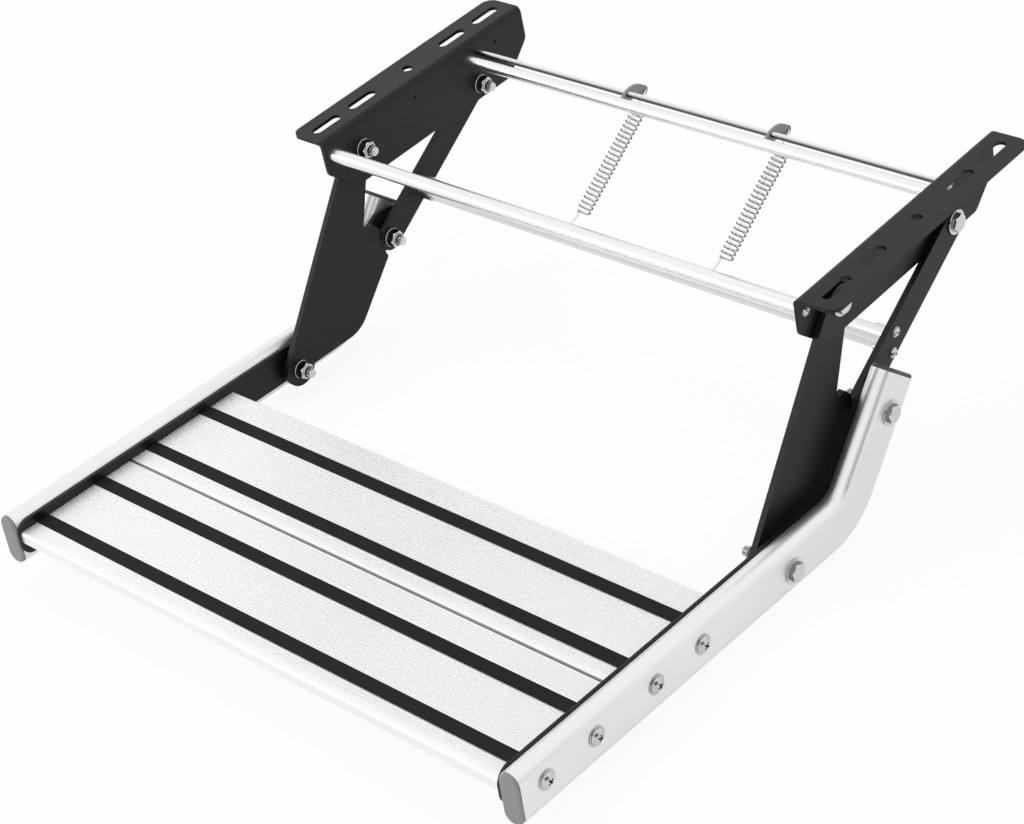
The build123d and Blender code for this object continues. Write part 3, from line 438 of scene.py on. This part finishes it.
# flat-oval tubes: the bent arms and the crossbar follow a path
arms = {"across": 267.8, "path": [(-499.4696, -160.3352), (-131.3837, -182.8483), (-55.8361, -101.8335)],
        "sizes": {"Width": 18.0 * mm, "Depth": 44.5 * mm, "Bend Radius": 45.0 * mm, "Tilt": 0.0}}
bar = {"across": 245.7, "spot": (-26.7432, -99.053),
       "sizes": {"Width": 12.0 * mm, "Depth": 25.5 * mm, "Tilt": math.radians(20.0)}}
oval = {"bendSteps": 24, "cornerSteps": 14, "corner": 0.4999}  # corner: just under half the width


def makeOvalTube(name, material):
    tree, into, out = newTree(name, arms["sizes"])
    path = addNode(tree, "GeometryNodeMeshToCurve", Mesh=into["Geometry"])
    bent = addNode(tree, "GeometryNodeFilletCurve", {"mode": "POLY"}, Curve=path.outputs[0],
                   Count=oval["bendSteps"], Radius=into["Bend Radius"], Limit_Radius=True)
    level = addNode(tree, "GeometryNodeSetCurveNormal", {"mode": "Z_UP"}, Curve=bent.outputs[0])
    tilted = addNode(tree, "GeometryNodeSetCurveTilt", Curve=level.outputs[0], Tilt=into["Tilt"])
    block = addNode(tree, "GeometryNodeCurvePrimitiveQuadrilateral", Width=into["Width"], Height=into["Depth"])
    outline = addNode(tree, "GeometryNodeFilletCurve", {"mode": "POLY"}, Curve=block.outputs[0],
                      Count=oval["cornerSteps"], Radius=times(tree, into["Width"], oval["corner"]),
                      Limit_Radius=True)
    swept = addNode(tree, "GeometryNodeCurveToMesh", Curve=tilted.outputs[0], Profile_Curve=outline.outputs[0],
                    Fill_Caps=True)
    painted = addNode(tree, "GeometryNodeSetMaterial", Geometry=swept.outputs[0], Material=material)
    tree.links.new(painted.outputs[0], out[0])
    return tree


def pathMesh(name, points):  # a line through points in millimetres
    mesh = bpy.data.meshes.new(name)
    mesh.from_pydata([Vector(p) * mm for p in points], [(k, k + 1) for k in range(len(points) - 1)], [])
    return mesh


armTube = makeOvalTube("armTube", armSilver)
barTube = makeOvalTube("barTube", barSilver)
for name, node, side in (("leftArm", "left_arm", -1), ("rightArm", "right_arm", 1)):
    line = pathMesh(name + "Path", [(side * arms["across"], y, z) for y, z in arms["path"]])
    piece = onePiece(name, [plainMesh(name, armTube, arms["sizes"], line)])
    evenFlats(piece)
    hand(piece, "step", "silver_arm", node)
line = pathMesh("barPath", [(side * bar["across"], *bar["spot"]) for side in (-1, 1)])
piece = onePiece("linkCrossbar", [plainMesh("linkCrossbar", barTube, bar["sizes"], line)])
evenFlats(piece)
hand(piece, "rear_links", "link_bar", "link_crossbar")
print("arms and crossbar swept")


# round bars along a path: the cross tubes, the rod and the spring wire
def makeRoundBar(name, sides, smoothing, material):
    tree, into, out = newTree(name, {"Radius": mm, "Sides": sides, "Smoothing": smoothing})
    path = addNode(tree, "GeometryNodeMeshToCurve", Mesh=into["Geometry"])
    soft = addNode(tree, "GeometryNodeCurveSplineType", {"spline_type": "CATMULL_ROM"}, Curve=path.outputs[0])
    fine = addNode(tree, "GeometryNodeSetSplineResolution", Geometry=soft.outputs[0],
                   Resolution=into["Smoothing"])
    ring = addNode(tree, "GeometryNodeCurvePrimitiveCircle", Resolution=into["Sides"], Radius=into["Radius"])
    swept = addNode(tree, "GeometryNodeCurveToMesh", Curve=fine.outputs[0], Profile_Curve=ring.outputs[0],
                    Fill_Caps=True)
    painted = addNode(tree, "GeometryNodeSetMaterial", Geometry=swept.outputs[0], Material=material)
    tree.links.new(painted.outputs[0], out[0])
    return tree


tubeBar = makeRoundBar("tubeBar", sides=128, smoothing=1, material=tubeBright)
rodBar = makeRoundBar("rodBar", sides=64, smoothing=1, material=rodSteel)
springWire = makeRoundBar("springWire", sides=8, smoothing=2, material=springSteel)
tubes = {"across": 241.9, "rows": [("frontTube", "front_tube", tubeBar, (-115.8, -15.4), 6.0),
                                   ("upperTube", "upper_tube", tubeBar, (51.9, -15.3), 5.0),
                                   ("anchorRod", "anchor_rod", rodBar, (65.5, -13.95), 2.6)]}
for name, node, tree, spot, radius in tubes["rows"]:
    line = pathMesh(name + "Path", [(side * tubes["across"], *spot) for side in (-1, 1)])
    piece = onePiece(name, [plainMesh(name, tree, {"Radius": radius * mm}, line)])
    hand(piece, "frame", "cross_tube", node)
print("cross tubes swept")

# springs: a coil with a hook at each end; keep is the share of the length left when stowed
spring = {"anchor": (84.5, -20.5), "run": (-0.85927, -0.51152), "span": 122.796, "upperLeg": 18.0,
          "lowerLeg": 6.0, "legAcross": -3.8, "hookStart": -9.4, "hookBend": 1.5, "blend": 2.5, "wire": 0.8,
          "coil": 5.7, "turns": 23, "perTurn": 12, "crease": 60.0, "keep": 0.7437,
          "hook": [(-21.015, -83.313), (-27.7104, -85.6862), (-31.7645, -90.0425), (-25.3745, -92.368)],
          "rows": [("leftSpring", "left_spring", -65.0), ("rightSpring", "right_spring", 84.0)]}


def onSpring(middle, along, across, up):
    (y, z), (dy, dz) = spring["anchor"], spring["run"]
    return (middle + across, y + dy * along - dz * up, z + dz * along + dy * up)


def springPath(middle):
    leg, bend, coil = spring["legAcross"], spring["hookBend"], spring["coil"]
    coilLength = spring["span"] - spring["upperLeg"] - spring["lowerLeg"]
    steps = spring["turns"] * spring["perTurn"]
    path = [(middle + spring["hookStart"], *spring["anchor"]), (middle + leg - bend, *spring["anchor"]),
            onSpring(middle, bend, leg, 0), onSpring(middle, spring["upperLeg"] - spring["blend"], leg, 0)]
    for step in range(steps + 1):
        angle = math.pi + 2 * math.pi * step / spring["perTurn"]
        along = spring["upperLeg"] + coilLength * step / steps
        path.append(onSpring(middle, along, coil * math.cos(angle), coil * math.sin(angle)))
    path.append(onSpring(middle, spring["span"] - spring["lowerLeg"] + spring["blend"], leg, 0))
    return path + [(middle + leg, y, z) for y, z in spring["hook"]]


for name, node, middle in spring["rows"]:
    line = pathMesh(name + "Path", springPath(middle))
    wire = plainMesh(name, springWire, {"Radius": spring["wire"] * mm}, line)
    piece = onePiece(name, [wire], spring["crease"])
    hand(piece, "springs", "spring_wire", node)
    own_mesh(piece)
print("springs wound")


# fasteners: each shape stands on Z = 0 and is set on points that say which way they face
def named(tree, kind, name):
    return addNode(tree, "GeometryNodeInputNamedAttribute", {"data_type": kind}, Name=name).outputs[0]


def metres(sizes):
    return {label: value * mm for label, value in sizes.items()}


def fastenerTree(name, sizes, shape, material):  # sizes in millimetres
    tree, into, out = newTree(name, metres(sizes))
    spin = addNode(tree, "FunctionNodeAxisAngleToRotation", Axis=(0, 0, 1), Angle=named(tree, "FLOAT", "turn"))
    facing = addNode(tree, "ShaderNodeCombineXYZ", X=named(tree, "FLOAT", "side"))
    aim = addNode(tree, "FunctionNodeAlignRotationToVector", {"axis": "Z"}, Rotation=spin.outputs[0],
                  Vector=facing.outputs[0])
    spots = addNode(tree, "GeometryNodeInstanceOnPoints", Points=into["Geometry"], Instance=shape(tree, into),
                    Rotation=aim.outputs[0])
    whole = addNode(tree, "GeometryNodeRealizeInstances", Geometry=spots.outputs[0])
    painted = addNode(tree, "GeometryNodeSetMaterial", Geometry=whole.outputs[0], Material=material)
    # faces marked for painted shade take the darker copies of the plating
    for mark, darker in (("shadedSide", zincSideShade), ("shaded", zincShade)):
        painted = addNode(tree, "GeometryNodeSetMaterial", Geometry=painted.outputs[0],
                          Selection=named(tree, "BOOLEAN", mark), Material=darker)
    tree.links.new(painted.outputs[0], out[0])
    return tree


def marked(tree, solid, name, test):  # marks faces for one of the darker copies of the plating that paint shade
    mark = addNode(tree, "GeometryNodeStoreNamedAttribute", {"data_type": "BOOLEAN", "domain": "FACE"},
                   Geometry=solid, Name=name, Value=test)
    return mark.outputs[0]


def faceNormal(tree):
    normal = tree.nodes.new("GeometryNodeInputNormal").outputs[0]
    return addNode(tree, "ShaderNodeSeparateXYZ", Vector=normal).outputs


steep, flat = 0.3, 0.9  # how far a face may lean and still count as a side or an end


def upright(tree):  # true on the upright sides of a shape
    return number(tree, "LESS_THAN", number(tree, "ABSOLUTE", faceNormal(tree)["Z"]), steep)


def flatFaces(tree):  # true on faces square to the axis
    return number(tree, "GREATER_THAN", number(tree, "ABSOLUTE", faceNormal(tree)["Z"]), flat)


def everySecond(tree):  # true on every second side of a hexagon
    normal = faceNormal(tree)
    angle = number(tree, "ARCTAN2", normal["Y"], normal["X"])
    return number(tree, "GREATER_THAN", number(tree, "SINE", times(tree, angle, 3.0)), 0.0)


# outlines as (share of radius, share of height), and how many sides each round has
outlines = {
    "prism": [(1, 0), (1, 1)],
    "shank": [(1, 0.02), (1, -1)],
    "washer": [(0.94, 0), (0.99, 0.25), (1, 0.4), (1, 0.8), (0.97, 1)],
    "head": [(1.02, -0.02), (1.02, 0.72), (0.86, 1)],
    "nut": [(0.88, 0), (1.02, 0.12), (1.02, 0.82), (0.84, 1)],
    "collar": [(0.9, -0.2), (0.9, 0.05), (0.97, 0.2), (1, 0.45), (0.97, 0.75), (0.9, 0.95), (0.82, 1)],
    "core": [(0.86, 0), (0.86, 0.8)],
    "ridge": [(0.84, 0.06), (1.0, 0.10), (1.0, 0.15), (0.84, 0.19)],
    "point": [(0.8, 0.78), (0.96, 0.80), (0.94, 0.87), (0.84, 0.94), (0.66, 0.985), (0.4, 1)],
    "pan": [(0.97, 0), (1, 0.05), (1, 0.12), (0.95, 0.19), (0.85, 0.19), (0.84, 0.27), (0.77, 0.40),
            (0.67, 0.55), (0.55, 0.70), (0.42, 0.82), (0.28, 0.92), (0.15, 0.98), (0.04, 1)],
}
rounds = {"hexagon": 6, "shank": 24, "tip": 28, "collar": 32, "pan": 40, "chamfer": 48, "washer": 48}
thread = {"ridges": 4, "pitch": 0.19}
recess = {"blades": ((0.66, 0.17), (0.17, 0.66)), "tall": 1.1, "darkReach": 0.5, "darkBelow": 0.55}
corner = 1 / math.sqrt(3)  # a hexagon's corner radius for its width across flats


def hexBlock(tree, flats, height, chamfers, shadeEverySecond):  # hexagon with its corners turned off; its upright sides get painted shade
    prism = turnedShape(tree, outlines["prism"], times(tree, flats, corner), height, rounds["hexagon"])
    cone = turnedShape(tree, chamfers, times(tree, flats, corner), height, rounds["chamfer"])
    block = marked(tree, boolean(tree, "INTERSECT", (prism, cone)), "shadedSide", upright(tree))
    # painted reflection: every second side of a nut is made near black, as if mirroring something dark
    if shadeEverySecond:
        block = marked(tree, block, "shaded", number(tree, "MINIMUM", upright(tree), everySecond(tree)))
    return block


def washerDisc(tree, into):
    radius, thickness = into["Washer Radius"], into["Washer Thickness"]
    return turnedShape(tree, outlines["washer"], radius, thickness, rounds["washer"])


def shankRod(tree, into):
    return turnedShape(tree, outlines["shank"], into["Shank Radius"], into["Shank Length"], rounds["shank"])


def boltHead(tree, into):
    # painted shade: the washer rim is darker, a dark outline where its contact shadow falls
    washer = marked(tree, washerDisc(tree, into), "shadedSide", upright(tree))
    head = hexBlock(tree, into["Flats"], into["Head Height"], outlines["head"], shadeEverySecond=False)
    return together(tree, [washer, moved(tree, head, into["Washer Thickness"]), shankRod(tree, into)])


def lockNut(tree, into):
    # painted shade: the washer's flat faces and the collar's ends are near black
    washer = marked(tree, washerDisc(tree, into), "shaded", flatFaces(tree))
    nut = hexBlock(tree, into["Flats"], into["Nut Height"], outlines["nut"], shadeEverySecond=True)
    ring = turnedShape(tree, outlines["collar"], into["Collar Radius"], into["Collar Height"], rounds["collar"])
    collar = marked(tree, ring, "shaded", flatFaces(tree))
    nutTop = number(tree, "ADD", into["Washer Thickness"], into["Nut Height"])
    return together(tree, [washer, moved(tree, nut, into["Washer Thickness"]), moved(tree, collar, nutTop),
                           shankRod(tree, into)])


def studTip(tree, into):  # thread ridges on a core painted darker as shade in the thread valleys, then a rounded point
    def tipShape(rings):
        return turnedShape(tree, rings, into["Tip Radius"], into["Tip Length"], rounds["tip"])

    solids = [marked(tree, tipShape(outlines["core"]), "shadedSide", upright(tree))]
    for k in range(thread["ridges"]):
        solids.append(tipShape([(r, z + thread["pitch"] * k) for r, z in outlines["ridge"]]))
    return together(tree, solids + [tipShape(outlines["point"])])


def panHead(tree, into):  # flange ring, dome and a cross recess; the recess floor and the upright faces get painted shade
    radius, height = into["Head Radius"], into["Head Height"]
    head = turnedShape(tree, outlines["pan"], radius, height, rounds["pan"])
    blades = []
    for wide, deep in recess["blades"]:
        size = addNode(tree, "ShaderNodeCombineXYZ", X=times(tree, radius, wide), Y=times(tree, radius, deep),
                       Z=times(tree, height, recess["tall"]))
        blade = addNode(tree, "GeometryNodeMeshCube", Size=size.outputs[0])
        blades.append(moved(tree, blade.outputs[0], height))
    cut = boolean(tree, "DIFFERENCE", blades, Mesh_1=head)
    place = tree.nodes.new("GeometryNodeInputPosition").outputs[0]
    spot = addNode(tree, "ShaderNodeSeparateXYZ", Vector=place).outputs
    squares = number(tree, "ADD", times(tree, spot["X"], spot["X"]), times(tree, spot["Y"], spot["Y"]))
    near = number(tree, "LESS_THAN", number(tree, "SQRT", squares), times(tree, radius, recess["darkReach"]))
    low = number(tree, "LESS_THAN", spot["Z"], times(tree, height, recess["darkBelow"]))
    dark = number(tree, "MAXIMUM", number(tree, "MINIMUM", near, low), upright(tree))
    return together(tree, [marked(tree, cut, "shaded", dark), shankRod(tree, into)])


shankSizes = {"Shank Radius": 4.0, "Shank Length": 8.9}
hexSizes = {"Flats": 13.3, "Washer Radius": 10.0, "Washer Thickness": 1.5, **shankSizes}
boltTree = fastenerTree("pivotBolt", {**hexSizes, "Head Height": 3.2}, boltHead, zincPlate)
nutTree = fastenerTree("lockNut", {**hexSizes, "Washer Radius": 8.3, "Nut Height": 6.5, "Collar Radius": 5.8,
                                   "Collar Height": 1.5}, lockNut, zincPlate)
tipTree = fastenerTree("boltTip", {"Tip Radius": 4.0, "Tip Length": 5.5}, studTip, zincPlate)
screwTree = fastenerTree("panScrew", {"Head Radius": 8.0, "Head Height": 4.2, **shankSizes}, panHead, screwZinc)
tipFrom = 9.5  # washer, nut and collar


def seats(name, rows):  # points in millimetres with the side they face and their turn
    mesh = bpy.data.meshes.new(name)
    mesh.from_pydata([Vector(row[:3]) * mm for row in rows], [], [])
    for label, column in (("side", 3), ("turn", 4)):
        values = mesh.attributes.new(label, "FLOAT", "POINT").data
        for k, row in enumerate(rows):
            values[k].value = row[column]
    return mesh


outward, inward = 1, -1


def bothSides(x, spots, facing, turns):  # the same seats on the right and the left
    rows = []
    for side in (1, -1):
        for (y, z), turn in zip(spots, turns):
            rows.append((side * x, y, z, side * facing, math.radians(turn)))
    return rows


pivots = {"front": (-83.0, -27.5), "rear": (61.5, -43.5),
          "upper": (-73.3716, -124.4503), "lower": (-203.1823, -181.0618)}
boltSets = [
    {"name": "bracketBolts", "body": "frame", "nodes": ["bracket_bolts", "bracket_washers", "bracket_nuts"],
     "heads": [{"x": 250.8, "at": ("front", "rear"), "turns": (14, 38), "shank": 8.9}],
     "nuts": [{"x": 241.9, "at": ("front", "rear"), "turns": (10, 35), "shank": 1.0}]},
    {"name": "armBolts", "body": "step",
     "nodes": ["upper_bolts", "upper_washers", "upper_nuts", "lower_bolts", "lower_head_washers"],
     "heads": [{"x": 276.8, "at": ("upper",), "turns": (12,), "shank": 31.0},
               {"x": 276.8, "at": ("lower",), "turns": (8,), "shank": 21.0}],
     "nuts": [{"x": 245.6, "at": ("upper",), "turns": (25,), "shank": 1.0}]},
    {"name": "linkBolts", "body": "front_links",
     "nodes": ["lower_bolt_ends", "lower_nut_washers", "lower_nuts"],
     "heads": [],
     "nuts": [{"x": 245.7, "at": ("lower",), "turns": (50,), "shank": 10.0}]},
]
for row in boltSets:
    name, meshes = row["name"], []
    for k, part in enumerate(row["heads"]):
        points = bothSides(part["x"], [pivots[p] for p in part["at"]], outward, part["turns"])
        sizes = metres({"Shank Length": part["shank"]})
        meshes.append(plainMesh(f"{name}Head{k}", boltTree, sizes, seats(name + "Seats", points)))
    for k, part in enumerate(row["nuts"]):
        points = bothSides(part["x"], [pivots[p] for p in part["at"]], inward, part["turns"])
        tips = [(x + facing * tipFrom, y, z, facing, turn) for x, y, z, facing, turn in points]
        sizes = metres({"Shank Length": part["shank"]})
        meshes.append(plainMesh(f"{name}Nut{k}", nutTree, sizes, seats(name + "NutSeats", points)))
        meshes.append(plainMesh(f"{name}Tip{k}", tipTree, {}, seats(name + "TipSeats", tips)))
    hand(onePiece(name, meshes), row["body"], "plated_fastener", *row["nodes"])

screwSets = [
    {"name": "treadScrews", "body": "step", "node": "tread_screws", "x": 276.8, "turns": (30, 62, 15, 48),
     "spots": [(-474.8749, -159.5352), (-423.6706, -162.667), (-359.7899, -166.5741), (-308.5856, -169.7059)],
     "sizes": {"Head Radius": 8.0, "Head Height": 4.2, "Shank Radius": 3.0, "Shank Length": 18.0}},
    {"name": "tubeScrews", "body": "frame", "node": "tube_screws", "x": 244.9, "turns": (20, 70, 40),
     "spots": [(-115.8, -15.4), (51.9, -15.3), (65.5, -13.95)],
     "sizes": {"Head Radius": 4.3, "Head Height": 3.2, "Shank Radius": 1.5, "Shank Length": 12.0}},
    {"name": "crossbarScrews", "body": "rear_links", "node": "crossbar_screws", "x": 250.7, "turns": (10, 55),
     "spots": [(-23.9, -91.2), (-29.6, -106.9)],
     "sizes": {"Head Radius": 4.3, "Head Height": 3.2, "Shank Radius": 2.5, "Shank Length": 18.0}},
]
for row in screwSets:
    points = seats(row["name"] + "Seats", bothSides(row["x"], row["spots"], outward, row["turns"]))
    heads = plainMesh(row["name"], screwTree, metres(row["sizes"]), points)
    hand(onePiece(row["name"], [heads]), row["body"], "plated_fastener", row["node"])
print("fasteners set")

# camera at the photograph's angle
shot = {"azimuth": 49.097, "elevation": 35.856, "roll": -12.492, "lens": 89.93, "sensor": 36.0,
        "place": (1.2298, -1.26048, 1.03316)}
az, el, roll = (math.radians(shot[k]) for k in ("azimuth", "elevation", "roll"))
back = Vector((math.sin(az) * math.cos(el), -math.cos(az) * math.cos(el), math.sin(el)))
right = Vector((math.cos(az), math.sin(az), 0))
up = back.cross(right)
rolledRight = math.cos(roll) * right + math.sin(roll) * up
rolledUp = -math.sin(roll) * right + math.cos(roll) * up
camData = bpy.data.cameras.new("photoCamera")
camData.sensor_width = shot["sensor"]
camData.lens = shot["lens"]
camera = bpy.data.objects.new("photoCamera", camData)
turn = Matrix((rolledRight, rolledUp, back)).transposed().to_4x4()
camera.matrix_world = Matrix.Translation(shot["place"]) @ turn
bpy.context.scene.collection.objects.link(camera)
bpy.context.scene.camera = camera

studio = {"floorSize": 14.0, "floorDrop": 0.0015, "floorTone": 0.92, "floorGleam": 0.0, "floorWhite": 0.91,
          "floorGloss": 0.45, "worldTone": 0.62, "matt": 0.9, "cardTone": 0.02, "cardGleam": 0.5,
          "cardPlace": (1.46, -0.42, 0.04), "cardAim": (0.28, -0.39, -0.10), "cardSize": (0.80, 0.50)}


def mattSheet(name, size, z, tone, gleam):  # a flat sheet with a plain material
    material = bpy.data.materials.new(name)
    material.use_nodes = True
    shader = material.node_tree.nodes["Principled BSDF"]
    shader.inputs["Base Color"].default_value = (*grey(tone), 1)
    shader.inputs["Roughness"].default_value = studio["matt"]
    shader.inputs["Specular IOR Level"].default_value = gleam
    x, y = (v / 2 for v in size)
    mesh = bpy.data.meshes.new(name)
    mesh.from_pydata([(-x, -y, z), (x, -y, z), (x, y, z), (-x, y, z)], [], [(0, 1, 2, 3)])
    mesh.materials.append(material)
    sheet = bpy.data.objects.new(name, mesh)
    bpy.context.scene.collection.objects.link(sheet)
    return sheet


def seenShare(tree, camera, gloss):  # how white a backdrop looks to the camera, and in metal
    path = tree.nodes.new("ShaderNodeLightPath").outputs
    mirrored = number(tree, "MAXIMUM", path["Is Glossy Ray"], path["Is Transmission Ray"])
    return number(tree, "ADD", times(tree, path["Is Camera Ray"], camera), times(tree, mirrored, gloss))


def mixedShader(tree, share, first, second):
    node = addNode(tree, "ShaderNodeMixShader", Fac=share)
    tree.links.new(first, node.inputs[1])
    tree.links.new(second, node.inputs[2])
    return node.outputs[0]


# pale floor that looks white to the camera, keeps a faint shadow and is clear from below
floor = mattSheet("floor", (studio["floorSize"], studio["floorSize"]), cadBox[0].z - studio["floorDrop"],
                  studio["floorTone"], studio["floorGleam"])
floorTree = floor.data.materials[0].node_tree
matt = floorTree.nodes["Principled BSDF"].outputs[0]
glow = addNode(floorTree, "ShaderNodeEmission", Color=(1, 1, 1, 1), Strength=1.0).outputs[0]
pale = mixedShader(floorTree, seenShare(floorTree, studio["floorWhite"], studio["floorGloss"]), matt, glow)
below = floorTree.nodes.new("ShaderNodeNewGeometry").outputs["Backfacing"]
clear = floorTree.nodes.new("ShaderNodeBsdfTransparent").outputs[0]
surface = mixedShader(floorTree, below, pale, clear)
floorTree.links.new(surface, floorTree.nodes["Material Output"].inputs["Surface"])

world = bpy.data.worlds.new("studioWorld")
bpy.context.scene.world = world
world.use_nodes = True
sky = world.node_tree.nodes["Background"]
sky.inputs["Color"].default_value = (1, 1, 1, 1)
skyLevel = addNode(world.node_tree, "ShaderNodeMapRange", To_Min=studio["worldTone"], To_Max=1.0,
                   Value=seenShare(world.node_tree, camera=1.0, gloss=1.0))
world.node_tree.links.new(skyLevel.outputs["Result"], sky.inputs["Strength"])

# a dark card beside the camera, seen only in the metal
card = mattSheet("darkCard", studio["cardSize"], 0, studio["cardTone"], studio["cardGleam"])
aim = Vector(studio["cardAim"]) - Vector(studio["cardPlace"])
turn = aim.to_track_quat("Z", "Y").to_matrix().to_4x4()
card.matrix_world = Matrix.Translation(studio["cardPlace"]) @ turn
for ray in ("camera", "diffuse", "shadow", "transmission", "volume_scatter"):
    setattr(card, "visible_" + ray, False)

lamps = [
    {"name": "topLamp", "place": (-0.5, 0.3, 2.6), "aim": (0, -0.15, -0.1), "size": 2.6, "power": 27.0,
     "mirrored": False},
    {"name": "frontLamp", "place": (0.6, -2.4, 1.2), "aim": (0, -0.2, -0.1), "size": 2.0, "power": 6.0,
     "mirrored": False},
    {"name": "edgeLamp", "place": (-1.5, -1.9, 1.0), "aim": (0, -0.1, -0.1), "size": 1.0, "power": 8.0,
     "mirrored": True},
]
for lamp in lamps:
    data = bpy.data.lights.new(lamp["name"], "AREA")
    data.shape = "SQUARE"
    data.size = lamp["size"]
    data.energy = lamp["power"]
    light = bpy.data.objects.new(lamp["name"], data)
    light.location = lamp["place"]
    light.rotation_euler = (Vector(lamp["aim"]) - Vector(lamp["place"])).to_track_quat("-Z", "Y").to_euler()
    light.visible_glossy = lamp["mirrored"]
    bpy.context.scene.collection.objects.link(light)
bpy.context.scene.view_settings.view_transform = "Standard"
print("camera, floor and lamps placed")
